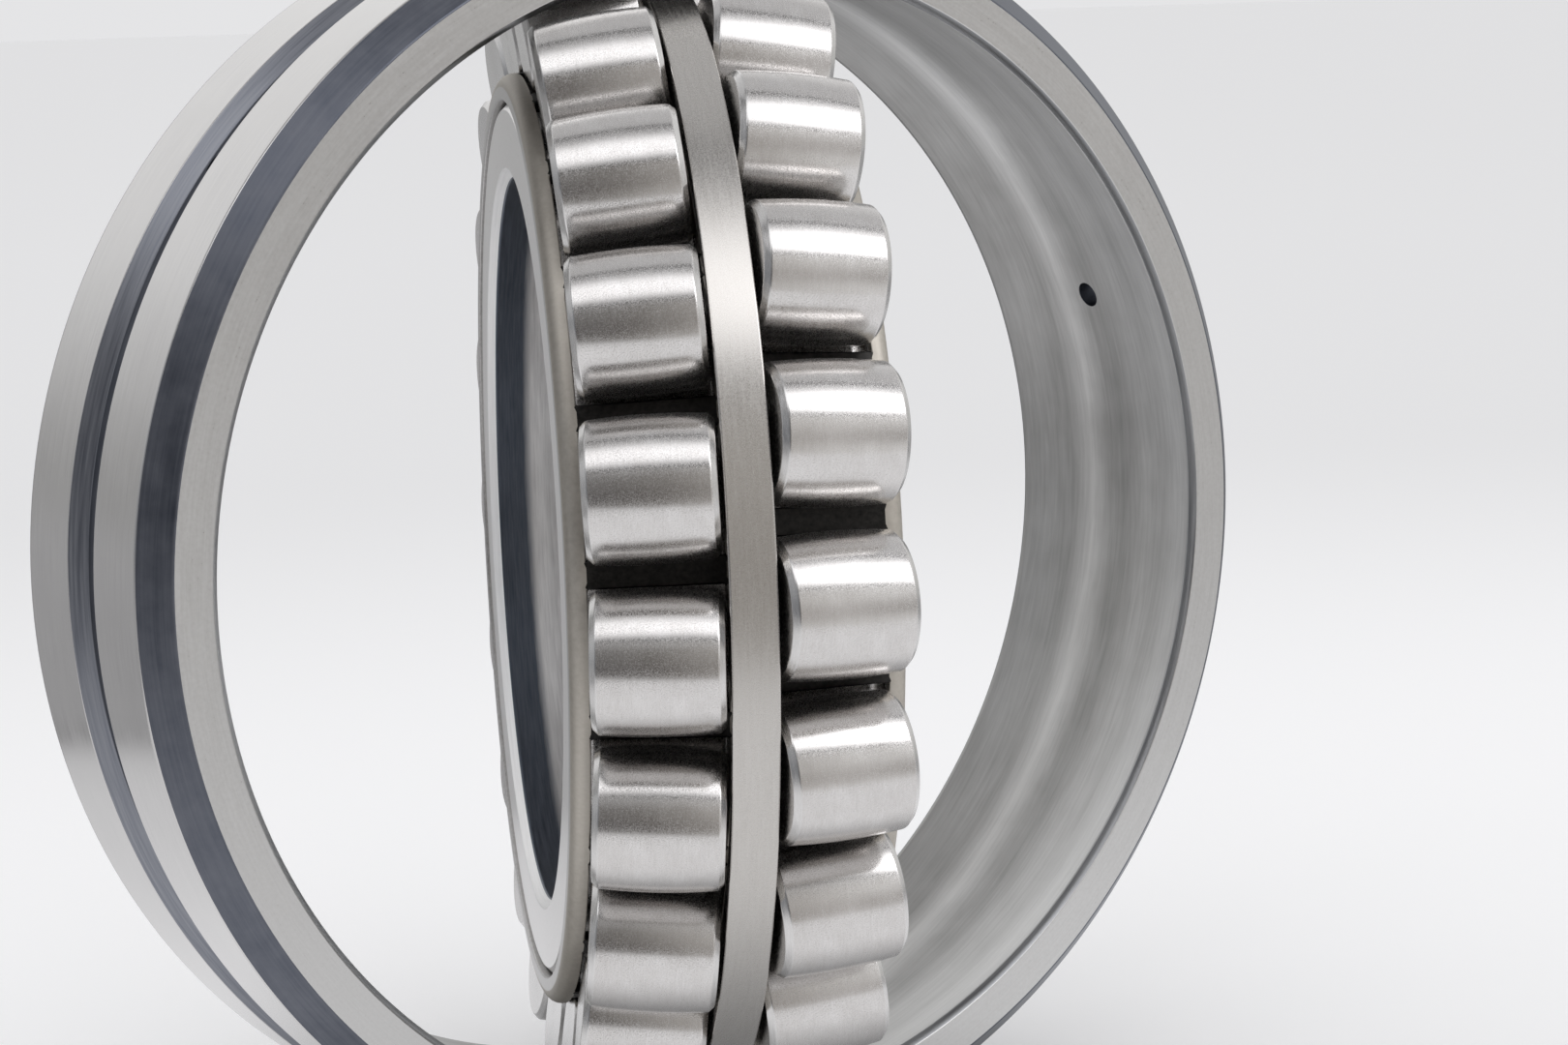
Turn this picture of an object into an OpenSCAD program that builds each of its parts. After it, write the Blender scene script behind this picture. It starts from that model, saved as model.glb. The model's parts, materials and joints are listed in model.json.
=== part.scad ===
// Double-row spherical roller bearing, 80 x 140 x 33 mm, with the inner assembly swivelled
// out of the outer ring. The outer ring's axis is Y, and the origin is the bearing's centre.

/* [Main sizes] */
// Bore diameter of the inner ring
bore_d = 80; // [40:1:120]
// Outside diameter of the outer ring
outer_d = 140; // [100:1:220]
// Width of both rings
ring_w = 33; // [20:0.5:60]
// Angle of the inner assembly, from aligned with the outer ring
swivel_deg = 65.9; // [-90:0.1:90]

/* [Outer ring] */
// Radius of the spherical raceway
race_r = 64.2; // [50:0.1:100]
// Outer edge chamfer along the axis
edge_axial = 3.1; // [0.5:0.1:6]
// Outer edge chamfer across the axis
edge_radial = 2.8; // [0.5:0.1:6]
// Inner edge chamfer
lip_chamfer = 0.7; // [0.2:0.1:2]
// Width of the lubrication groove at the surface
groove_w = 6.7; // [2:0.1:12]
// Width of the groove's floor
groove_floor_w = 3.4; // [1:0.1:10]
// Depth of the groove
groove_depth = 1.6; // [0.4:0.1:4]
// Number of lubrication holes
holes = 3; // [1:1:8]
// Diameter of each lubrication hole
hole_d = 3; // [1:0.1:6]
// Angle of the first hole above the horizontal
hole_start_deg = 20.4; // [0:0.1:120]

/* [Rollers] */
// Rollers in each row
rollers = 21; // [12:1:26]
// Largest roller diameter
roller_d = 14.5; // [6:0.1:24]
// Roller length
roller_len = 13; // [6:0.1:24]
// Radius of the barrel curve along a roller
barrel_r = 62.8; // [20:0.1:120]
// Roller edge chamfer
roller_chamfer = 0.6; // [0.1:0.1:2]
// Distance of the roller centres from the inner axis
pitch_r = 56.1; // [40:0.1:90]
// Distance of the roller centres from the middle plane
row_z = 8.7; // [4:0.1:20]
// Angle of the first roller in the left row
left_phase = 4; // [0:0.1:30]
// Angle of the first roller in the right row
right_phase = 8.7; // [0:0.1:30]

/* [Inner ring] */
// Bore edge chamfer
bore_chamfer = 1; // [0.2:0.1:4]
// Chamfer where a raceway meets a side face
end_chamfer = 0.6; // [0.2:0.1:3]
// Half the width of the land between the raceways
land_half = 1.25; // [0.5:0.05:3]
// Play between the rollers and the inner raceways
inner_play = 0.15; // [0.05:0.01:0.5]

/* [Guide ring] */
// Outside radius of the guide ring
guide_r = 61.2; // [50:0.1:80]
// Inside radius of the guide ring
guide_in_r = 53.2; // [45:0.1:70]
// Width of the guide ring at its outside
guide_w = 4.84; // [2:0.01:10]

/* [Cages] */
// Thickness of the cage sheet
sheet_t = 1.3; // [0.5:0.1:3]
// Inside radius of the cage past the rollers
cage_r = 50.1; // [45:0.1:60]
// Inside radius of the cage beside the guide ring
cage_mid_r = 51.4; // [45:0.1:60]
// Distance of the flange's outer face from the middle plane
flange_z = 16.8; // [10:0.1:30]
// Inside radius of the flange
flange_r = 48.5; // [40:0.1:60]
// Outside radius of the bend between sheet and flange
bend_r = 1.5; // [1.3:0.1:4]
// Clearance of the windows around a roller
window_play = 0.25; // [0.1:0.05:1]

/* [Hidden] */
$fn = 144;
steps = 16;
tilt = atan2(row_z, pitch_r);
pitch_deg = 360 / rollers;
centre_dist = norm([pitch_r, row_z]);
inner_contact = centre_dist - roller_d / 2 - inner_play;
race_centre = [(inner_contact + race_r) * cos(tilt), (inner_contact + race_r) * sin(tilt)];

function two(i) = i < 10 ? str("0", i) : str(i);
function left_name(i) = str("left_roller_", two(i));
function right_name(i) = str("right_roller_", two(i));

// Profile helpers: every profile is a list of [radius, axial] points.
function mirrored(p) = [for (i = [len(p) - 1:-1:0]) [p[i][0], -p[i][1]]];
function barrel(s) = roller_d / 2 - barrel_r + sqrt(barrel_r * barrel_r - s * s);
// Radius of the inner raceway at axial position z.
function raceway(z) = race_centre[0] - sqrt(race_r * race_r - pow(z - race_centre[1], 2));

module ring_frame() rotate([-90, 0, 0]) children();

module inner_frame() rotate([0, 0, swivel_deg]) ring_frame() children();

// Puts a roller's own frame (its axis along Z) at index i of the row on side 1 or -1.
module at_roller(i, side) {
    phase = side > 0 ? left_phase : right_phase;
    rotate([0, 0, phase + (i - 1) * pitch_deg])
        translate([pitch_r, 0, side * row_z])
            rotate([0, -side * tilt, 0])
                children();
}

module outer_ring() {
    r = outer_d / 2;
    h = ring_w / 2;
    lip_r = sqrt(race_r * race_r - h * h);
    half = [
        [r - groove_depth, groove_floor_w / 2], [r, groove_w / 2],
        [r, h - edge_axial], [r - edge_radial, h],
        [lip_r + lip_chamfer, h], [lip_r - 0.1, h - lip_chamfer - 0.1],
        [lip_r - 4, h - lip_chamfer - 0.1]
    ];
    color([0.72, 0.73, 0.75]) ring_frame() difference() {
        rotate_extrude() polygon(concat(half, mirrored(half)));
        sphere(r = race_r);
        for (k = [0:holes - 1])
            rotate([0, 0, -hole_start_deg - k * 360 / holes])
                translate([race_r - 4, 0, 0])
                    rotate([0, 90, 0]) cylinder(d = hole_d, h = 12);
    }
}

module inner_ring() {
    r = bore_d / 2;
    h = ring_w / 2;
    end = h - end_chamfer;
    half = concat(
        [for (z = [land_half:(end - land_half) / steps:end + 0.001]) [raceway(z), z]],
        [[raceway(end) - end_chamfer, h], [r + bore_chamfer, h], [r, h - bore_chamfer]]
    );
    color([0.66, 0.67, 0.7]) inner_frame()
        rotate_extrude() polygon(concat(half, mirrored(half)));
}

module guide_ring() {
    h = guide_w / 2;
    h_in = h - (guide_r - guide_in_r) * tan(tilt);
    half = [[guide_in_r, h_in], [guide_r - 0.2, h], [guide_r, h - 0.2]];
    color([0.7, 0.69, 0.67]) inner_frame()
        rotate_extrude() polygon(concat(half, mirrored(half)));
}

module cage(side) {
    web_z = 1.2;
    rim_z = 14.85;
    out_r = cage_r + sheet_t;
    bend = [for (a = [0:15:90])
        [out_r, flange_z] + bend_r * [cos(a) - 1, sin(a) - 1]];
    sheet = concat(
        [[cage_mid_r, 0.15], [cage_mid_r + sheet_t, 0.15], [cage_mid_r + sheet_t, web_z],
         [out_r, rim_z]],
        bend,
        [[flange_r, flange_z], [flange_r, flange_z - sheet_t], [cage_r, flange_z - sheet_t],
         [cage_r, rim_z], [cage_mid_r, web_z]]
    );
    inner_frame() difference() {
        mirror([0, 0, side > 0 ? 0 : 1]) rotate_extrude() polygon(sheet);
        for (i = [1:rollers])
            at_roller(i, side) cylinder(
                r = roller_d / 2 + window_play, h = roller_len + 2 * window_play, center = true
            );
    }
}

module left_cage() color([0.55, 0.52, 0.48]) cage(1);

module right_cage() color([0.55, 0.52, 0.48]) cage(-1);

module roller() {
    s = roller_len / 2 - roller_chamfer;
    half = concat(
        [for (k = [1:2:steps + 1]) let (z = s * k / (steps + 1)) [barrel(z), z]],
        [[barrel(s) - roller_chamfer, roller_len / 2], [0, roller_len / 2]]
    );
    rotate_extrude($fn = 72) polygon(concat(half, mirrored(half)));
}

module left_roller(i) color([0.8, 0.79, 0.77]) inner_frame() at_roller(i, 1) roller();

module right_roller(i) color([0.8, 0.79, 0.77]) inner_frame() at_roller(i, -1) roller();

outer_ring();
inner_ring();
guide_ring();
left_cage();
right_cage();
for (i = [1:rollers]) left_roller(i);
for (i = [1:rollers]) right_roller(i);
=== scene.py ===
"""The looks of a double-row spherical roller bearing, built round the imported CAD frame.

Each piece is turned about its own Z axis and then placed on its body. Lengths in the outlines are
millimetres, and everything placed in the scene is in metres.
"""
import json
import math

import bpy
from mathutils import Matrix, Vector

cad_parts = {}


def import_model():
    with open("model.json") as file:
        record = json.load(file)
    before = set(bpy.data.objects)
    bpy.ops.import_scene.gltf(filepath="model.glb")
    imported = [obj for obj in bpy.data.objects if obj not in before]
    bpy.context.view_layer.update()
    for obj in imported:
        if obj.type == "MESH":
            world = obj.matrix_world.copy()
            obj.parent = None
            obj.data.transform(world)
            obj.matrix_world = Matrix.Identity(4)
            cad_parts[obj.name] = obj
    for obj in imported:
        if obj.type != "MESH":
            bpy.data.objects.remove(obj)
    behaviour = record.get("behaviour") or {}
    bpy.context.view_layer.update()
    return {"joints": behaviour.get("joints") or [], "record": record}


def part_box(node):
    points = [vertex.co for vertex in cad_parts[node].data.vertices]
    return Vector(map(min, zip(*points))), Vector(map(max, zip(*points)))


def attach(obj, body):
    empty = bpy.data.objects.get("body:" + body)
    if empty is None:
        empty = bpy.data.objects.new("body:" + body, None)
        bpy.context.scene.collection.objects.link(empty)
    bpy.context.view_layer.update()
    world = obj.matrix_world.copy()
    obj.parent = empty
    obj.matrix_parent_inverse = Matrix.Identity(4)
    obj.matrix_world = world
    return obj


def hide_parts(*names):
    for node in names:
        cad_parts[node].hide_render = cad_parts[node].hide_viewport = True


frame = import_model()
MM = 0.001

# ---------------------------------------------------------------- sizes, in millimetres

low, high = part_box("outer_ring")
OUTER_R = (high.x - low.x) / 2 / MM
HALF_W = (high.y - low.y) / 2 / MM
MOUNTS = {m["name"]: m for m in frame["record"]["mounts"]}
JOINTS = {j["name"]: j for j in frame["joints"]}
BORE_R = MOUNTS["bore"]["dims"]["r_mm"]
HOLE_R = MOUNTS["lubrication_hole_1"]["dims"]["r_mm"]

RACE_R = 64.2
EDGE_AXIAL, EDGE_RADIAL, LIP = 3.1, 2.8, 0.7
GROOVE_HALF, GROOVE_FLOOR_HALF, GROOVE_DEPTH = 3.35, 1.7, 1.6
# Half the side of the square that is cut from the groove's floor round each hole.
HOLE_SQUARE = 1.6

ROLLERS = 21
ROLLER_R, ROLLER_HALF, ROLLER_EDGE, BARREL_R = 7.25, 6.5, 0.6, 62.8
PITCH_R, ROW_Z = 56.1, 8.7
TILT = math.atan2(ROW_Z, PITCH_R)

BORE_CHAMFER, END_CHAMFER, LAND_HALF = 1.0, 0.6, 1.25
BORE_DARK_DEPTH = 4.3
TRACKED_WIDTH = 36
INNER_CONTACT = math.hypot(PITCH_R, ROW_Z) - ROLLER_R - 0.15
GUIDE_R, GUIDE_IN_R, GUIDE_HALF = 61.2, 53.2, 2.42

SHEET_T = 1.3
# The middle of the cage's sheet: radius at the middle plane and past the rollers, and its bend.
CAGE_MID_R, CAGE_END_R, BEND_R = 52.05, 50.75, 0.85
CAGE_START = 0.15
WINDOW_START, WINDOW_END = 1.25, 14.85
FLANGE_Z, FLANGE_R = 16.15, 48.5
WINDOW_HALF = 6.35


# ---------------------------------------------------------------- outlines and lathed meshes

def evenly(start, end, steps):
    """Evenly spaced values from start to end, both included."""
    return [start + (end - start) * k / steps for k in range(steps + 1)]


def with_mirror(corners, closing):
    """Adds the same corners on the other side of the middle plane. closing is the last edge's finish."""
    back = [(r, -z, fillet) for r, z, fillet, _ in reversed(corners)]
    finishes = [c[3] for c in reversed(corners[:-1])] + [closing]
    return corners + [(*point, finish) for point, finish in zip(back, finishes)]


def rounded(corners, closed=True, steps=5):
    """Rounds an outline's corners. A corner is (radius, axial, fillet, finish of the edge after it).

    The outline runs anticlockwise, so its outside is on the right. Each point that comes back is
    (radius, axial, normal radius, normal axial, finish of the edge after it).
    """
    count = len(corners)
    points = [Vector(c[:2]) for c in corners]
    edges = [(points[(k + 1) % count] - points[k]).normalized() for k in range(count)]
    out = []
    for k, (r, z, fillet, finish) in enumerate(corners):
        before = edges[k] if not closed and k == 0 else edges[k - 1]
        after = edges[k - 1] if not closed and k == count - 1 else edges[k]
        turn = math.atan2(before.x * after.y - before.y * after.x, before.dot(after))
        normal = Vector((before.y, -before.x))
        if fillet == 0:
            normal.rotate(Matrix.Rotation(turn / 2, 2))
            out.append((r, z, normal.x, normal.y, finish))
            continue
        side = math.copysign(fillet, turn)
        centre = points[k] - before * abs(side * math.tan(turn / 2)) - normal * side
        for s in range(steps + 1):
            n = Matrix.Rotation(turn * s / steps, 2) @ normal
            p = centre + n * side
            out.append((p.x, p.y, n.x, n.y, finish))
    return out


class Lathe:
    """A mesh turned about Z from a rounded outline, with exact normals and a material for each finish."""

    def __init__(self, outline, finishes, angles, closed=True, holes=()):
        self.finishes = list(finishes)
        self.materials = [finishes[f] for f in self.finishes]
        self.outline, self.angles = outline, angles
        self.verts, self.normals, self.faces, self.kinds, self.starts = [], [], [], [], []
        for r, z, nr, nz, _ in outline:
            self.starts.append(len(self.verts))
            for a in angles[:1] if r < 1e-6 else angles:
                c, s = math.cos(a), math.sin(a)
                self.add_vert((r * c, r * s, z), (nr * c, nr * s, nz))
        for i in range(len(outline) if closed else len(outline) - 1):
            for j in range(len(angles)):
                if not any(i in rows and j in columns for rows, columns in holes):
                    self.add_face((i, j), (i, j + 1), (i + 1, j + 1), (i + 1, j))

    def add_vert(self, point, normal):
        self.verts.append([c * MM for c in point])
        self.normals.append(normal)
        return len(self.verts) - 1

    def index(self, row, column):
        row %= len(self.outline)
        if self.outline[row][0] < 1e-6:
            return self.starts[row]
        return self.starts[row] + column % len(self.angles)

    def add_face(self, *grid_points):
        corners = []
        for point in grid_points:
            if self.index(*point) not in corners:
                corners.append(self.index(*point))
        self.faces.append(corners)
        self.kinds.append(self.finishes.index(self.outline[grid_points[0][0]][4]))

    def bridge(self, loops, finishes):
        """Joins closed loops of vertices, one after the other."""
        for near, far, finish in zip(loops, loops[1:], finishes):
            for k in range(len(near)):
                n = (k + 1) % len(near)
                self.faces.append([near[k], near[n], far[n], far[k]])
                self.kinds.append(self.finishes.index(finish))

    def mesh(self, name):
        mesh = bpy.data.meshes.new(name)
        mesh.from_pydata(self.verts, [], self.faces)
        for material in self.materials:
            mesh.materials.append(material)
        mesh.polygons.foreach_set("material_index", self.kinds)
        mesh.polygons.foreach_set("use_smooth", [True] * len(self.faces))
        mesh.normals_split_custom_set_from_vertices(self.normals)
        return mesh


def full_turn(steps):
    return [2 * math.pi * k / steps for k in range(steps)]


def place(name, mesh, matrix, body, slot, *nodes):
    """Puts a mesh in the scene as a piece that rides on a body and stands for CAD nodes."""
    obj = bpy.data.objects.new(name, mesh)
    bpy.context.scene.collection.objects.link(obj)
    obj.matrix_world = matrix
    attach(obj, body)
    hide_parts(*nodes)
    return obj


# ---------------------------------------------------------------- shader node helpers

def add_node(tree, kind, **settings):
    """A new node with its settings."""
    node = tree.nodes.new(kind)
    for key, value in settings.items():
        setattr(node, key, value)
    return node


def feed(tree, socket, value):
    """Links another node's output to a socket, or sets the socket to a constant."""
    if isinstance(value, bpy.types.NodeSocket):
        tree.links.new(value, socket)
    else:
        socket.default_value = value


def maths(tree, operation, a, b=0.5):
    """A maths node on two sockets or numbers. Returns its output socket."""
    node = add_node(tree, "ShaderNodeMath", operation=operation)
    feed(tree, node.inputs[0], a)
    feed(tree, node.inputs[1], b)
    return node.outputs[0]


def colour_ramp(tree, factor, stops, interpolation="LINEAR"):
    """Colours through (place, colour) stops, where a single number stands for a grey."""
    node = add_node(tree, "ShaderNodeValToRGB")
    band = node.color_ramp
    band.interpolation = interpolation
    while len(band.elements) < len(stops):
        band.elements.new(0.5)
    for element, (at, colour) in zip(band.elements, stops):
        element.position = at
        element.color = (*colour, 1) if isinstance(colour, tuple) else (colour, colour, colour, 1)
    tree.links.new(factor, node.inputs[0])
    return node.outputs["Color"]


def curve(tree, factor, stops):
    """A smooth curve through (place, value) stops."""
    return colour_ramp(tree, factor, stops, "EASE")


def mix_colours(tree, factor, a, b):
    """a where factor is 0, and b where it is 1."""
    mix = add_node(tree, "ShaderNodeMix", data_type="RGBA")
    for index, value in ((0, factor), (6, a), (7, b)):
        feed(tree, mix.inputs[index], value)
    return mix.outputs[2]


def separate(tree, coordinates):
    """The X, Y and Z sockets of the object's own or generated coordinates."""
    split = add_node(tree, "ShaderNodeSeparateXYZ")
    tree.links.new(add_node(tree, "ShaderNodeTexCoord").outputs[coordinates], split.inputs[0])
    return split.outputs


# ---------------------------------------------------------------- materials

class Steel:
    """A steel finish: a Principled shader with helpers that add lathe marks and grain."""

    def __init__(self, name, roughness, anisotropic=0.0):
        self.material = bpy.data.materials.new(name)
        self.material.use_nodes = True
        self.tree = self.material.node_tree
        self.shader = self.tree.nodes["Principled BSDF"]
        self.set(self.shader, Metallic=1.0, Roughness=roughness)
        if anisotropic:
            self.set(self.shader, Anisotropic=anisotropic)
            tangent = self.node("ShaderNodeTangent", direction_type="RADIAL", axis="Z")
            self.link(tangent.outputs[0], self.shader.inputs["Tangent"])

    def node(self, kind, **settings):
        return add_node(self.tree, kind, **settings)

    def set(self, node, **values):
        for key, value in values.items():
            node.inputs[key].default_value = value

    def link(self, source, target):
        self.tree.links.new(source, target)

    def math(self, *operation_and_values):
        return maths(self.tree, *operation_and_values)

    def turned(self, per_mm, round_the_axis, detail=3.0):
        """Noise that is drawn out into lines round the axis. Returns its factor socket."""
        point = self.node("ShaderNodeTexCoord").outputs["Object"]
        flat = self.node("ShaderNodeVectorMath", operation="MULTIPLY")
        self.link(point, flat.inputs[0])
        flat.inputs[1].default_value = (1, 1, 0)
        unit = self.node("ShaderNodeVectorMath", operation="NORMALIZE")
        self.link(flat.outputs[0], unit.inputs[0])
        length = self.node("ShaderNodeVectorMath", operation="LENGTH")
        self.link(flat.outputs[0], length.inputs[0])
        axial = self.node("ShaderNodeVectorMath", operation="MULTIPLY")
        self.link(point, axial.inputs[0])
        axial.inputs[1].default_value = (0, 0, per_mm / MM)
        mixed = self.node("ShaderNodeVectorMath", operation="MULTIPLY_ADD")
        self.link(unit.outputs[0], mixed.inputs[0])
        mixed.inputs[1].default_value = (round_the_axis,) * 3
        self.link(axial.outputs[0], mixed.inputs[2])
        noise = self.node("ShaderNodeTexNoise", noise_dimensions="4D")
        self.set(noise, Scale=1.0, Detail=detail, Roughness=0.6)
        self.link(mixed.outputs[0], noise.inputs["Vector"])
        self.link(self.math("MULTIPLY", length.outputs["Value"], per_mm / MM), noise.inputs["W"])
        return noise.outputs["Fac"]

    def grain(self, per_mm, detail=3.0):
        """Plain noise over the piece. Returns its factor socket."""
        scaled = self.node("ShaderNodeVectorMath", operation="MULTIPLY")
        self.link(self.node("ShaderNodeTexCoord").outputs["Object"], scaled.inputs[0])
        scaled.inputs[1].default_value = (per_mm / MM,) * 3
        noise = self.node("ShaderNodeTexNoise")
        self.set(noise, Scale=1.0, Detail=detail, Roughness=0.6)
        self.link(scaled.outputs[0], noise.inputs["Vector"])
        return noise.outputs["Fac"]

    def ramp(self, factor, stops):
        return colour_ramp(self.tree, factor, stops)

    def colour(self, socket):
        """The metal's colour."""
        self.link(socket, self.shader.inputs["Base Color"])
        return self

    def tint(self, factor, dark, light):
        """The metal's colour, between two tones that follow a factor."""
        return self.colour(self.ramp(factor, [(0.3, dark), (0.7, light)]))

    def gloss(self, factor, least, most, at=(0.3, 0.7)):
        """Roughness that follows a factor."""
        node = self.node("ShaderNodeMapRange")
        self.set(node, **{"From Min": at[0], "From Max": at[1], "To Min": least, "To Max": most})
        self.link(factor, node.inputs["Value"])
        self.link(node.outputs["Result"], self.shader.inputs["Roughness"])
        return self

    def bump(self, factor, strength, depth_mm):
        """Fine relief that follows a factor."""
        node = self.node("ShaderNodeBump")
        self.set(node, Strength=strength, Distance=depth_mm * MM)
        self.link(factor, node.inputs["Height"])
        self.link(node.outputs["Normal"], self.shader.inputs["Normal"])
        return self

    def blend(self, a, b, share):
        """share of b, the rest of a."""
        return self.math("ADD", self.math("MULTIPLY", a, 1 - share), self.math("MULTIPLY", b, share))


def ground_outside():
    """The outer ring's finely ground outside: mirror-like, with faint grinding lines."""
    steel = Steel("ground_outside", 0.2, anisotropic=0.35)
    lines = steel.turned(per_mm=5, round_the_axis=7)
    cloud = steel.grain(per_mm=0.12)
    mix = steel.blend(lines, cloud, 0.4)
    steel.tint(mix, (0.60, 0.59, 0.585), (0.70, 0.69, 0.68))
    return steel.gloss(mix, 0.15, 0.26).bump(lines, 0.25, 0.004).material


def side_face(name, dark, light):
    """Ground side faces: satin, with fine circles."""
    steel = Steel(name, 0.3, anisotropic=0.3)
    lines = steel.turned(per_mm=4, round_the_axis=9)
    grain = steel.grain(per_mm=2.5)
    mix = steel.blend(lines, grain, 0.45)
    steel.tint(mix, dark, light)
    return steel.gloss(mix, 0.26, 0.38).bump(lines, 0.3, 0.006).material


def dark_turned():
    """Chamfers and groove, turned before hardening and never ground: dark blue-grey."""
    steel = Steel("hardened_turned", 0.42, anisotropic=0.4)
    lines = steel.turned(per_mm=3, round_the_axis=5)
    cloud = steel.grain(per_mm=0.25)
    mix = steel.blend(lines, cloud, 0.5)
    steel.tint(mix, (0.095, 0.104, 0.128), (0.185, 0.194, 0.222))
    return steel.gloss(mix, 0.34, 0.5).bump(lines, 0.4, 0.015).material


def groove_slope():
    """The groove's sloped sides, a little brighter than its floor."""
    steel = Steel("groove_slope", 0.36, anisotropic=0.4)
    lines = steel.turned(per_mm=3, round_the_axis=6)
    steel.tint(lines, (0.18, 0.19, 0.22), (0.32, 0.33, 0.36))
    return steel.gloss(lines, 0.3, 0.42).bump(lines, 0.35, 0.012).material


def lip_finish():
    """The small chamfer between the side face and the raceway: ground, but duller than either."""
    steel = Steel("ground_lip", 0.36, anisotropic=0.4)
    lines = steel.turned(per_mm=3, round_the_axis=6)
    steel.tint(lines, (0.27, 0.275, 0.285), (0.43, 0.435, 0.445))
    return steel.gloss(lines, 0.3, 0.42).bump(lines, 0.3, 0.008).material


def raceway_finish():
    """The honed spherical raceway: satin, with clouds of sheen and brighter and duller tracks round it."""
    steel = Steel("honed_raceway", 0.36, anisotropic=0.5)
    lines = steel.turned(per_mm=2.2, round_the_axis=8)
    cloud = steel.grain(per_mm=0.08)
    mix = steel.blend(lines, cloud, 0.5)
    axial = steel.math("MULTIPLY", separate(steel.tree, "Object")["Z"], 1 / (TRACKED_WIDTH * MM))
    wobble = steel.math("MULTIPLY", steel.math("SUBTRACT", cloud, 0.5), 0.04)
    tracks = steel.ramp(steel.math("ADD", steel.math("ADD", axial, 0.5), wobble), [
        (0.0, 0.52), (0.14, 0.6), (0.24, 0.42), (0.34, 0.46), (0.46, 0.26),
        (0.52, 0.34), (0.62, 0.8), (0.72, 0.34), (0.84, 0.4), (1.0, 0.3)])
    steel.tint(steel.blend(mix, tracks, 0.55), (0.35, 0.35, 0.345), (0.86, 0.86, 0.855))
    return steel.gloss(mix, 0.3, 0.42).bump(lines, 0.3, 0.006).material


def bore_edge():
    """The chamfer between the bore and a side face: a painted highlight, near white and half diffuse, too
    fine to be a clear mirror.
    """
    steel = Steel("bore_edge", 0.4)
    lines = steel.turned(per_mm=4, round_the_axis=6)
    # Painted highlight: the near-white, half-diffuse colour stands for the bright rim of light along this
    # edge.
    steel.set(steel.shader, Metallic=0.55)
    steel.tint(lines, (0.86, 0.855, 0.85), (0.97, 0.965, 0.96))
    return steel.gloss(lines, 0.34, 0.46).bump(lines, 0.3, 0.006).material


def bore_finish():
    """The ground bore, with brighter and duller bands, and darker towards its ends."""
    steel = Steel("ground_bore", 0.3, anisotropic=0.4)
    lines = steel.turned(per_mm=4, round_the_axis=8)
    bands = steel.turned(per_mm=0.35, round_the_axis=1.6, detail=2)
    mix = steel.blend(lines, bands, 0.6)
    bright = steel.ramp(mix, [
        (0.34, (0.56, 0.55, 0.545)), (0.5, (0.76, 0.75, 0.745)), (0.64, (0.94, 0.93, 0.92))])
    dark = steel.ramp(lines, [(0.3, (0.085, 0.098, 0.122)), (0.7, (0.14, 0.156, 0.188))])
    along = steel.math("ABSOLUTE", separate(steel.tree, "Object")["Z"])
    along = steel.math("MULTIPLY", along, 1 / (HALF_W * MM))
    wobble = steel.math("MULTIPLY", steel.math("SUBTRACT", lines, 0.5), 0.06)
    start = 1 - BORE_DARK_DEPTH / HALF_W
    is_dark = steel.ramp(steel.math("ADD", along, wobble), [(start - 0.05, 0), (start + 0.01, 1)])
    steel.colour(mix_colours(steel.tree, is_dark, bright, dark))
    return steel.gloss(lines, 0.3, 0.42).bump(lines, 0.3, 0.006).material


def guide_finish():
    """The guide ring: matte, with circular marks and a sandy mottle."""
    steel = Steel("turned_guide_ring", 0.4, anisotropic=0.25)
    lines = steel.turned(per_mm=3.5, round_the_axis=14)
    mottle = steel.grain(per_mm=5, detail=3)
    mix = steel.blend(lines, mottle, 0.6)
    steel.tint(mix, (0.5, 0.48, 0.455), (0.61, 0.59, 0.565))
    return steel.gloss(mix, 0.22, 0.33).bump(mix, 0.25, 0.008).material


def cage_finish():
    """Pressed and phosphated sheet: warm grey and matte."""
    steel = Steel("phosphated_sheet", 0.5)
    mottle = steel.grain(per_mm=1.8, detail=6)
    cloud = steel.grain(per_mm=0.2)
    mix = steel.blend(mottle, cloud, 0.4)
    steel.tint(mix, (0.42, 0.39, 0.345), (0.58, 0.55, 0.5))
    return steel.gloss(mix, 0.42, 0.62).bump(mottle, 0.4, 0.02).material


def cage_bar_oil_and_shade():
    """The cage's bars between the rollers: dark with oil, and painted near black as the shade between the
    rollers.
    """
    steel = Steel("oiled_sheet", 0.5)
    mottle = steel.grain(per_mm=1.8, detail=6)
    # Painted shade: the bars are coloured near black for the shade between the rollers as well as for the
    # oil.
    steel.tint(mottle, (0.016, 0.016, 0.016), (0.045, 0.043, 0.041))
    return steel.gloss(mottle, 0.34, 0.46).bump(mottle, 0.3, 0.02).material


def cage_flange():
    """The cage's flange, lighter and smoother than the rest of the sheet."""
    steel = Steel("rubbed_sheet", 0.36)
    mottle = steel.grain(per_mm=2.2, detail=5)
    steel.tint(mottle, (0.46, 0.45, 0.44), (0.62, 0.61, 0.6))
    return steel.gloss(mottle, 0.3, 0.42).bump(mottle, 0.3, 0.01).material


def roller_finish():
    """Superfinished rollers: bright, with faint lines round them and a frosting of fine scratches."""
    steel = Steel("superfinished_roller", 0.2, anisotropic=0.3)
    lines = steel.turned(per_mm=6, round_the_axis=5)
    frost = steel.grain(per_mm=9, detail=3)
    cloud = steel.grain(per_mm=0.35)
    mix = steel.blend(lines, cloud, 0.5)
    steel.tint(mix, (0.59, 0.57, 0.555), (0.72, 0.705, 0.695))
    return steel.gloss(frost, 0.15, 0.38, at=(0.44, 0.62)).bump(lines, 0.2, 0.003).material


def roller_edge():
    """The rollers' edges and ends: ground, a little rougher."""
    steel = Steel("roller_edge", 0.22, anisotropic=0.3)
    lines = steel.turned(per_mm=5, round_the_axis=6)
    steel.tint(lines, (0.6, 0.59, 0.58), (0.74, 0.73, 0.72))
    return steel.gloss(lines, 0.18, 0.3).bump(lines, 0.3, 0.006).material


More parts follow.
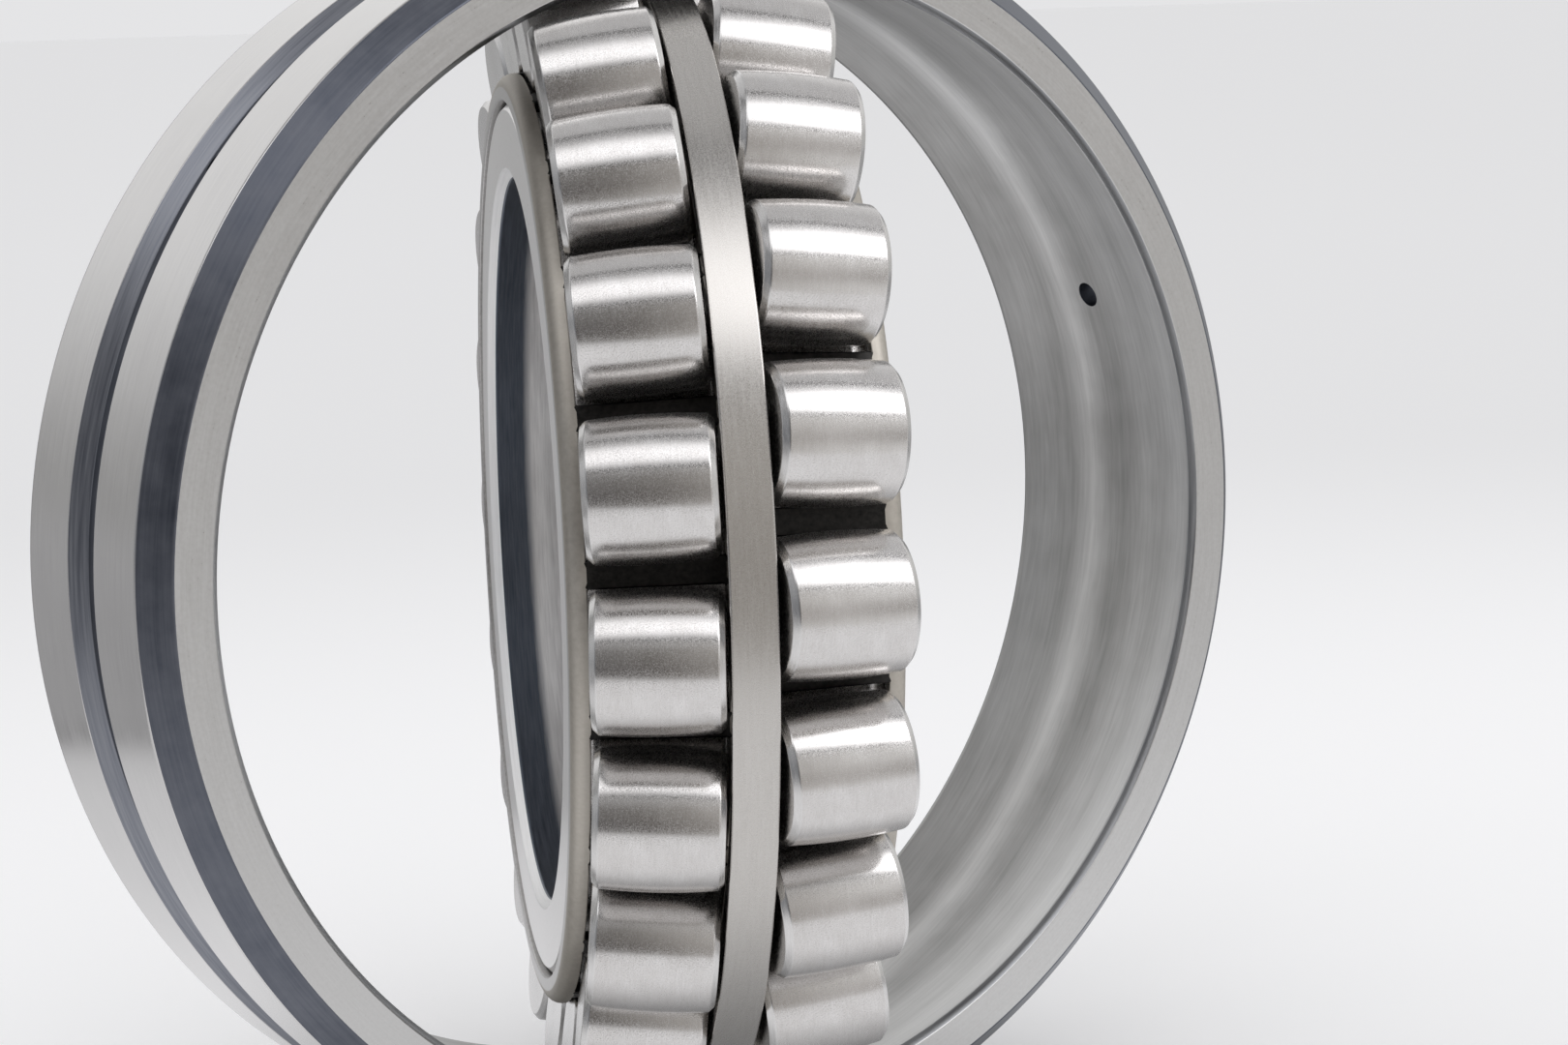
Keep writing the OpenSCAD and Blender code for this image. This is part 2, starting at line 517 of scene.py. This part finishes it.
OUTSIDE, DARK, SLOPE, LIP_STEEL = ground_outside(), dark_turned(), groove_slope(), lip_finish()
SIDE = side_face("outer_side_face", (0.55, 0.545, 0.535), (0.65, 0.648, 0.64))
INNER_SIDE = side_face("inner_side_face", (0.78, 0.77, 0.76), (0.88, 0.87, 0.86))
RACEWAY, BORE, BORE_EDGE_HIGHLIGHT, GUIDE = raceway_finish(), bore_finish(), bore_edge(), guide_finish()
CAGE, CAGE_BAR_OIL_AND_SHADE, CAGE_FLANGE = cage_finish(), cage_bar_oil_and_shade(), cage_flange()
ROLLER, ROLLER_EDGE_STEEL = roller_finish(), roller_edge()


# ---------------------------------------------------------------- pieces

# A ring's own axis is Z. This puts it along the row's Y, and its Y downwards.
RING_TO_ROW = Matrix.Rotation(-math.pi / 2, 4, "X")


def inner_matrix():
    """The inner assembly's frame, from the axis of its spin joint."""
    axis = Vector(JOINTS["inner_spin"]["axis"])
    down = Vector((0, 0, -1))
    return Matrix((down.cross(axis), down, axis)).transposed().to_4x4()


INNER = inner_matrix()


def sphere_rows(steps):
    """The raceway's outline from the top lip to the bottom one."""
    top = HALF_W - LIP
    reach = math.asin(top / RACE_R)
    return [(RACE_R * math.cos(t), RACE_R * math.sin(t)) for t in evenly(reach, -reach, steps)]


def outer_ring():
    race_steps, hole_cells, cell = 58, 8, 0.55
    columns_between_holes = 78
    lip_r = math.sqrt(RACE_R ** 2 - (HALF_W - LIP) ** 2)
    floor_r = OUTER_R - GROOVE_DEPTH
    floor = [(floor_r, z, 0, "groove") for z in evenly(-HOLE_SQUARE, HOLE_SQUARE, hole_cells)]
    top = [
        (floor_r, GROOVE_FLOOR_HALF, 0.2, "slope"), (OUTER_R, GROOVE_HALF, 0.25, "outside"),
        (OUTER_R, HALF_W - EDGE_AXIAL, 0.5, "chamfer"),
        (OUTER_R - EDGE_RADIAL, HALF_W, 0.35, "side"),
        (lip_r + LIP, HALF_W, 0.18, "lip"),
    ]
    race = [(r, z, 0, "raceway") for r, z in sphere_rows(race_steps)]
    race[-1] = (*race[-1][:3], "lip")
    bottom = [(r, -z, fillet, finish) for (r, z, fillet, _), finish in
              zip(reversed(top), ("side", "chamfer", "outside", "slope", "groove"))]
    outline = rounded(floor + top + race + bottom)

    # Columns: fine ones beside each hole, even ones between.
    fine = cell / RACE_R
    centres = sorted(-math.atan2(m["axis"][2], m["axis"][0]) % (2 * math.pi)
                     for name, m in MOUNTS.items() if name.startswith("lubrication_hole"))
    angles, hole_columns = [], []
    for k, centre in enumerate(centres):
        hole_columns.append(range(len(angles), len(angles) + hole_cells))
        angles += [centre + fine * c for c in evenly(-hole_cells / 2, hole_cells / 2, hole_cells)]
        gap_end = centres[(k + 1) % len(centres)] + 2 * math.pi * (k == len(centres) - 1)
        angles += evenly(angles[-1], gap_end - fine * hole_cells / 2, columns_between_holes)[1:-1]

    floor_rows = range(0, hole_cells)
    rows = [i for i, p in enumerate(outline) if p[4] == "raceway" and abs(p[1]) < hole_cells / 2 * cell]
    race_rows = range(rows[0], rows[0] + hole_cells)
    finishes = {"outside": OUTSIDE, "side": SIDE, "chamfer": DARK, "groove": DARK, "slope": SLOPE,
                "raceway": RACEWAY, "lip": LIP_STEEL}
    holes = [(r, c) for c in hole_columns for r in (floor_rows, race_rows)]
    lathe = Lathe(outline, finishes, angles, holes=holes)
    for columns, centre in zip(hole_columns, centres):
        add_hole(lathe, columns, centre, floor_rows, race_rows, floor_r)
    return place("ring_outer", lathe.mesh("ring_outer"), RING_TO_ROW, "outer_ring", "outer_ring",
                 "outer_ring")


def add_hole(lathe, columns, centre, floor_rows, race_rows, floor_r):
    """A lubrication hole, with a small lip at each end, from the groove's floor to the raceway."""
    lip = 0.06
    turn = Matrix.Rotation(centre, 3, "Z")

    def border(rows):
        """The open square's vertices, anticlockwise from outside, from its lowest corner."""
        rows = list(rows) + [rows[-1] + 1]
        if lathe.outline[rows[0]][1] > lathe.outline[rows[-1]][1]:
            rows.reverse()
        cols = list(columns) + [columns[-1] + 1]
        grid = [(rows[0], c) for c in cols[:-1]] + [(r, cols[-1]) for r in rows[:-1]]
        grid += [(rows[-1], c) for c in reversed(cols[1:])] + [(r, cols[0]) for r in reversed(rows[1:])]
        return [lathe.index(*g) for g in grid]

    def across(index):
        """A vertex's place across the hole's axis, in millimetres."""
        p = turn.inverted() @ Vector(lathe.verts[index])
        return Vector((p.y, p.z)) / MM

    def surface(p, inside):
        """The point and normal on the raceway or the groove's floor, at p across the hole's axis."""
        radius = RACE_R if inside else floor_r
        rise = math.sqrt(radius ** 2 - p.x ** 2 - (p.y ** 2 if inside else 0))
        point = Vector((rise, p.x, p.y))
        normal = -point if inside else Vector((rise, p.x, 0))
        return point, normal.normalized()

    def ring(edge, share, inside):
        """Vertices on the surface, share of the way from the square's edge to the hole's lip."""
        out = []
        for index in edge:
            p = across(index)
            p = p.lerp(p.normalized() * (HOLE_R + lip), share)
            point, normal = surface(p, inside)
            out.append(lathe.add_vert(turn @ point, turn @ normal))
        return out

    def wall(edge, inside):
        """The hole's wall, just below the surface."""
        out = []
        for index in edge:
            p = across(index).normalized() * HOLE_R
            point, _ = surface(p, inside)
            point.x += lip if inside else -lip
            out.append(lathe.add_vert(turn @ point, turn @ -Vector((0, p.x, p.y)).normalized()))
        return out

    outer, inner = border(floor_rows), border(race_rows)
    loops = [outer, ring(outer, 0.5, False), ring(outer, 1, False), wall(outer, False),
             wall(inner, True), ring(inner, 1, True), ring(inner, 0.5, True), inner]
    lathe.bridge(loops, ["groove"] * 5 + ["raceway"] * 2)


def inner_raceway(z):
    """The inner ring's outside radius at axial place z, under a row of rollers."""
    reach = INNER_CONTACT + RACE_R
    return reach * math.cos(TILT) - math.sqrt(RACE_R ** 2 - (z - reach * math.sin(TILT)) ** 2)


def inner_ring():
    end = HALF_W - END_CHAMFER
    race = [(inner_raceway(z), z, 0, "race") for z in evenly(LAND_HALF, end, 26)]
    race[0] = (*race[0][:2], 0.3, "race")
    race[-1] = (*race[-1][:2], 0.15, "side")
    half = race + [
        (inner_raceway(end) - END_CHAMFER, HALF_W, 0.15, "side"),
        (BORE_R + BORE_CHAMFER, HALF_W, 0.25, "edge"),
        (BORE_R, HALF_W - BORE_CHAMFER, 0.35, "bore"),
    ]
    finishes = {"race": ROLLER, "side": INNER_SIDE, "edge": BORE_EDGE_HIGHLIGHT, "bore": BORE}
    lathe = Lathe(rounded(with_mirror(half, "race")), finishes, full_turn(240))
    return place("ring_inner", lathe.mesh("ring_inner"), INNER, "inner_ring", "inner_ring", "inner_ring")


def guide_ring():
    inner_half = GUIDE_HALF - (GUIDE_R - GUIDE_IN_R) * math.tan(TILT)
    half = [(GUIDE_R, GUIDE_HALF, 0.22, "guide"), (GUIDE_IN_R, inner_half, 0.22, "guide")]
    lathe = Lathe(rounded(with_mirror(half, "guide")), {"guide": GUIDE}, full_turn(240))
    return place("ring_guide", lathe.mesh("ring_guide"), INNER, "guide_ring", "guide_ring", "guide_ring")


def roller_mesh():
    straight = ROLLER_HALF - ROLLER_EDGE

    def barrel(s):
        return ROLLER_R - BARREL_R + math.sqrt(BARREL_R ** 2 - s ** 2)

    flat_r = barrel(straight) - ROLLER_EDGE
    side = [(barrel(s), s, 0, "barrel") for s in evenly(-straight, straight, 16)]
    side[0] = (*side[0][:2], 0.35, "barrel")
    side[-1] = (*side[-1][:2], 0.35, "edge")
    corners = [(0, -ROLLER_HALF, 0, "edge"), (flat_r, -ROLLER_HALF, 0.25, "edge"), *side,
               (flat_r, ROLLER_HALF, 0.25, "edge"), (0, ROLLER_HALF, 0, "edge")]
    finishes = {"barrel": ROLLER, "edge": ROLLER_EDGE_STEEL}
    return Lathe(rounded(corners, closed=False), finishes, full_turn(96), closed=False).mesh("roller")


def rollers():
    """Every roller, at its own spin joint's place and axis."""
    mesh = roller_mesh()
    for row in ("left", "right"):
        for k in range(1, ROLLERS + 1):
            node = f"{row}_roller_{k:02d}"
            joint = JOINTS[f"{node}_spin"]
            axis, centre = Vector(joint["axis"]), Vector(joint["pos_m"])
            across = axis.cross(centre).normalized()
            turn = Matrix((across.cross(axis), across, axis)).transposed().to_4x4()
            place(f"barrel_{row}_{k:02d}", mesh, Matrix.Translation(centre) @ turn, node, "rollers", node)


def cage_mesh(side):
    """A pressed window cage: a sheet with a window round each roller, and a flange at its end."""
    phase = math.atan2(*reversed(roller_start(side)))
    pitch = 2 * math.pi / ROLLERS
    rows = [(CAGE_MID_R, CAGE_START)]
    rows += list(zip(evenly(CAGE_MID_R, CAGE_END_R, 6), evenly(WINDOW_START, WINDOW_END, 6)))
    first_rim = len(rows) - 1
    rows += [(CAGE_END_R - BEND_R * (1 - math.cos(a)), FLANGE_Z - BEND_R * (1 - math.sin(a)))
             for a in evenly(0, math.pi / 2, 5)]
    rows.append((FLANGE_R, FLANGE_Z))
    window_cells, bar_cells = 8, 4
    half_window = WINDOW_HALF / CAGE_MID_R
    angles, is_window = [], []
    for k in range(ROLLERS):
        centre = phase + k * pitch
        angles += evenly(centre - half_window, centre + half_window, window_cells)[:-1]
        is_window += [True] * window_cells
        angles += evenly(centre + half_window, centre + pitch - half_window, bar_cells)[:-1]
        is_window += [False] * bar_cells
    verts, faces, kinds = [], [], []
    for a in angles:
        verts += [(r * math.cos(a) * MM, r * math.sin(a) * MM, side * z * MM) for r, z in rows]
    for j in range(len(angles)):
        for i in range(len(rows) - 1):
            beside_rollers = 0 < i < first_rim
            if is_window[j] and beside_rollers:
                continue
            a, b = j * len(rows) + i, (j + 1) % len(angles) * len(rows) + i
            quad = (a, b, b + 1, a + 1)
            faces.append(quad if side > 0 else quad[::-1])
            # Material 1 goes on the bars beside the rollers: the near-black sheet painted for oil and
            # shade.
            kinds.append(1 if beside_rollers else 2 if i == len(rows) - 2 else 0)
    mesh = bpy.data.meshes.new("cage")
    mesh.from_pydata(verts, [], faces)
    for material in (CAGE, CAGE_BAR_OIL_AND_SHADE, CAGE_FLANGE):
        mesh.materials.append(material)
    mesh.polygons.foreach_set("material_index", kinds)
    mesh.polygons.foreach_set("use_smooth", [True] * len(faces))
    return mesh


def roller_start(side):
    """The direction of the first roller of a row in the inner assembly's frame, as (x, y)."""
    row = "left" if side > 0 else "right"
    p = INNER.inverted() @ Vector(JOINTS[f"{row}_roller_01_spin"]["pos_m"])
    return p.x, p.y


def cages():
    for side, row in ((1, "left"), (-1, "right")):
        obj = place(f"sheet_cage_{row}", cage_mesh(side), INNER, f"{row}_cage", "cages", f"{row}_cage")
        sheet = obj.modifiers.new("sheet", "SOLIDIFY")
        sheet.thickness = SHEET_T * MM
        sheet.offset = 0
        edge = obj.modifiers.new("edge", "BEVEL")
        edge.width = 0.2 * MM
        edge.segments = 2
        edge.limit_method = "ANGLE"
        edge.angle_limit = math.radians(50)
        edge.harden_normals = True


outer_ring()
inner_ring()
guide_ring()
cages()
rollers()


# ---------------------------------------------------------------- stage, light and camera

FLOOR_Z = low.z
CAMERA_DISTANCE, CAMERA_AZIMUTH, CAMERA_ELEVATION, CAMERA_ROLL = 0.3988, -33.39, 8.22, -1.71
LOOK_RIGHT, LOOK_UP = 0.01288, 0.00096
LENS = 81.8
LAMP_LENGTH, LAMP_STRENGTH = 0.58, 3.6


def camera():
    data = bpy.data.cameras.new("camera")
    data.lens, data.sensor_width = LENS, 36
    data.clip_start, data.clip_end = 0.01, 100
    az, el = math.radians(CAMERA_AZIMUTH), math.radians(CAMERA_ELEVATION)
    back = Vector((math.sin(az) * math.cos(el), -math.cos(az) * math.cos(el), math.sin(el)))
    turn = (-back).to_track_quat("-Z", "Y").to_matrix()
    turn = turn @ Matrix.Rotation(math.radians(CAMERA_ROLL), 3, "Z")
    aim = turn @ Vector((LOOK_RIGHT, LOOK_UP, 0))
    obj = bpy.data.objects.new("camera", data)
    obj.matrix_world = Matrix.Translation(aim + back * CAMERA_DISTANCE) @ turn.to_4x4()
    bpy.context.scene.collection.objects.link(obj)
    bpy.context.scene.camera = obj


def card(name, size, centre, tilt=(0, 0, 0)):
    """A flat rectangle that isn't part of the object."""
    x, y = size[0] / 2, size[1] / 2
    mesh = bpy.data.meshes.new(name)
    mesh.from_pydata([(-x, -y, 0), (x, -y, 0), (x, y, 0), (-x, y, 0)], [], [(0, 1, 2, 3)])
    obj = bpy.data.objects.new(name, mesh)
    obj.location, obj.rotation_euler = centre, tilt
    bpy.context.scene.collection.objects.link(obj)
    return obj


def glow(name, size, matrix, build):
    """A card that only reflections see. build(tree) returns its strength as a socket."""
    material = bpy.data.materials.new(name)
    material.use_nodes = True
    tree = material.node_tree
    tree.nodes.remove(tree.nodes["Principled BSDF"])
    emission = tree.nodes.new("ShaderNodeEmission")
    emission.inputs["Color"].default_value = (0.98, 0.98, 1, 1)
    tree.links.new(build(tree), emission.inputs["Strength"])
    tree.links.new(emission.outputs[0], tree.nodes["Material Output"].inputs[0])
    obj = card(name, size, (0, 0, 0))
    obj.matrix_world = matrix
    obj.data.materials.append(material)
    obj.visible_camera = obj.visible_diffuse = obj.visible_shadow = False


def floor():
    """The pale floor, painted brighter towards the front as a pool of light, and the bright table top that
    only reflections see.
    """

    def distance(tree, centre):
        """How far the shaded point is from the centre."""
        away = add_node(tree, "ShaderNodeVectorMath", operation="DISTANCE")
        feed(tree, away.inputs[0], add_node(tree, "ShaderNodeNewGeometry").outputs["Position"])
        feed(tree, away.inputs[1], centre)
        return away.outputs["Value"]

    ground = bpy.data.materials.new("pale_floor")
    ground.use_nodes = True
    tree = ground.node_tree
    shader = tree.nodes["Principled BSDF"]
    shader.inputs["Roughness"].default_value = 1
    # Painted light: the floor's colour is brightest near the front and fades further away, a pool of light
    # painted into it.
    tone = curve(tree, distance(tree, (0, -0.3, FLOOR_Z)), [(0.4, 0.99), (0.9, 0.822)])
    tree.links.new(tone, shader.inputs["Base Color"])
    wide = card("floor", (80, 80), (0, 0, FLOOR_Z))
    wide.data.materials.append(ground)
    wide.visible_glossy = False

    def fading(tree):
        """Bright in front of the bearing, with a painted shadow right under it, then the table's far edge
        behind it with a painted shadow along it, and a dimmer stretch beyond.
        """
        # The dip near 0.3 marks the table's far edge and is painted dark as the shadow along it.
        reach = curve(tree, distance(tree, (0, -0.12, FLOOR_Z)), [
            (0.14, 0.95), (0.25, 0.78), (0.292, 0.72), (0.297, 0.2), (0.306, 0.2), (0.311, 0.42),
            (1, 0.46)])
        # Painted shadow: the glow is dimmed right under the bearing, where its shadow falls on the table.
        under = curve(tree, distance(tree, (0, 0, FLOOR_Z)), [(0.02, 0.3), (0.08, 1)])
        return maths(tree, "MULTIPLY", reach, under)

    glow("table_top", (2.4, 2.2), Matrix.Translation((0.35, 0.86, FLOOR_Z - 0.0005)), fading)


def softbox():
    """The soft lamp over the camera's line of sight, brighter on its right. Only reflections see it."""
    az = math.radians(CAMERA_AZIMUTH)
    right, back = Vector((math.cos(az), math.sin(az), 0)), Vector((math.sin(az), -math.cos(az), 0))
    front_low = back * 0.215 + Vector((0, 0, 0.138))
    rear_high = back * 0.03 + Vector((0, 0, 0.232))
    height = (front_low - rear_high).length
    up = (rear_high - front_low).normalized()
    centre = (front_low + rear_high) / 2 + right * 0.07
    turn = Matrix((right, up, right.cross(up))).transposed().to_4x4()

    def shape(tree):
        """Soft at its edges, and dimmer towards the left."""
        x, y, _ = separate(tree, "Generated")
        along = curve(tree, x, [(0, 0), (0.14, 0.42), (0.42, 0.46), (0.62, 1), (0.9, 1), (1, 0)])
        across = curve(tree, y, [(0, 0), (0.3, 1), (0.5, 1), (0.78, 0.3), (1, 0)])
        return maths(tree, "MULTIPLY", maths(tree, "MULTIPLY", along, across), LAMP_STRENGTH)

    glow("softbox", (LAMP_LENGTH, height), Matrix.Translation(centre) @ turn, shape)


def world():
    """A white room with a darker horizon, dark on the left."""
    env = bpy.data.worlds.new("room")
    bpy.context.scene.world = env
    env.use_nodes = True
    tree = env.node_tree
    room = tree.nodes["Background"]
    x, y, z = separate(tree, "Generated")

    def from_range(value, first, last):
        """The value's share of the way from first to last."""
        node = add_node(tree, "ShaderNodeMapRange")
        node.inputs["From Min"].default_value = first
        node.inputs["From Max"].default_value = last
        tree.links.new(value, node.inputs["Value"])
        return node.outputs["Result"]

    def round_the_room(stops):
        """Colours by azimuth in degrees: 0 looks along +Y, and 90 along -X."""
        return colour_ramp(tree, turn, [((at + 180) / 360, colour) for at, colour in stops])

    def plain(colour):
        """An even background in one colour."""
        node = add_node(tree, "ShaderNodeBackground")
        node.inputs["Color"].default_value = (*colour, 1)
        return node.outputs[0]

    def switch(ray_kind, others, these):
        """One shader for a kind of ray, and another for the rest."""
        mix = add_node(tree, "ShaderNodeMixShader")
        for socket, source in zip(mix.inputs, (rays.outputs[ray_kind], others, these)):
            tree.links.new(source, socket)
        return mix.outputs[0]

    azimuth = maths(tree, "ARCTAN2", maths(tree, "MULTIPLY", x, -1), y)
    turn = from_range(azimuth, -math.pi, math.pi)
    horizon = round_the_room([
        (-180, (0.60, 0.58, 0.57)), (-160, (0.44, 0.425, 0.415)), (-140, (0.55, 0.53, 0.52)),
        (-110, (0.66, 0.66, 0.65)), (-30, 0.56), (0, 0.41), (25, 0.41),
        (65, (0.34, 0.35, 0.37)), (105, (0.15, 0.155, 0.17)), (146, (0.15, 0.14, 0.135)),
        (163, (0.42, 0.40, 0.38)), (180, (0.60, 0.58, 0.57))])
    upper = round_the_room([
        (-180, (0.78, 0.77, 0.76)), (-150, 0.90), (-60, 0.95), (-20, 1.0), (25, (0.85, 0.85, 0.86)),
        (65, (0.55, 0.56, 0.58)), (105, (0.20, 0.205, 0.22)), (146, (0.20, 0.19, 0.18)),
        (163, (0.50, 0.48, 0.46)), (180, (0.78, 0.77, 0.76))])
    height = from_range(z, -1, 1)
    is_upper = colour_ramp(tree, height, [(0.35, 1), (0.45, 0), (0.52, 0), (0.66, 1)])
    is_ceiling = colour_ramp(tree, height, [(0.72, 0), (0.92, 1)])
    walls = mix_colours(tree, is_upper, horizon, upper)
    tree.links.new(mix_colours(tree, is_ceiling, walls, (0.62, 0.62, 0.63, 1)), room.inputs["Color"])

    # The floor is lit evenly, and what the camera sees past it is a plain pale backdrop.
    rays = add_node(tree, "ShaderNodeLightPath")
    lit = switch("Is Diffuse Ray", room.outputs[0], plain((0.95, 0.95, 0.965)))
    seen = switch("Is Camera Ray", lit, plain((0.781, 0.781, 0.793)))
    tree.links.new(seen, tree.nodes["World Output"].inputs["Surface"])


camera()
floor()
softbox()
world()
bpy.context.scene.view_settings.view_transform = "Standard"
